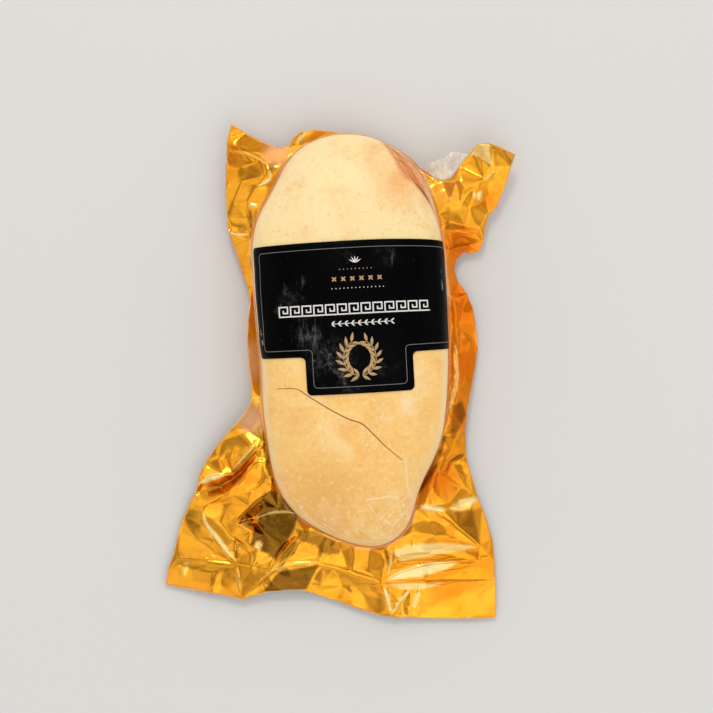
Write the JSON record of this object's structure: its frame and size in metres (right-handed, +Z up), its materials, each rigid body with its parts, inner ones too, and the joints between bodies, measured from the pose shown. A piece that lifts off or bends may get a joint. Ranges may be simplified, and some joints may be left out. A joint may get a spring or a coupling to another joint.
{
  "type": "raw goose foie gras in a vacuum pouch",
  "caption": "Whole raw goose liver lobe, vacuum packed between gold foil and clear film with a crumpled flange and a T-shaped label.",
  "frame": {"origin": "middle of the flat underside of the pouch, below the middle of the liver", "axes": "+Z up out of the labelled face, +Y towards the blunt end of the liver, +X to the right seen from above"},
  "size_m": [0.1821, 0.2571, 0.0499],
  "materials": {
    "raw_liver": "satin",
    "gold_foil": "polished",
    "clear_film": "gloss",
    "label_black": "gloss"
  },
  "bodies": {
    "root": {"liver": "raw_liver", "gold_foil": "gold_foil", "clear_film": "clear_film", "label": "label_black"}
  },
  "joints": []
}
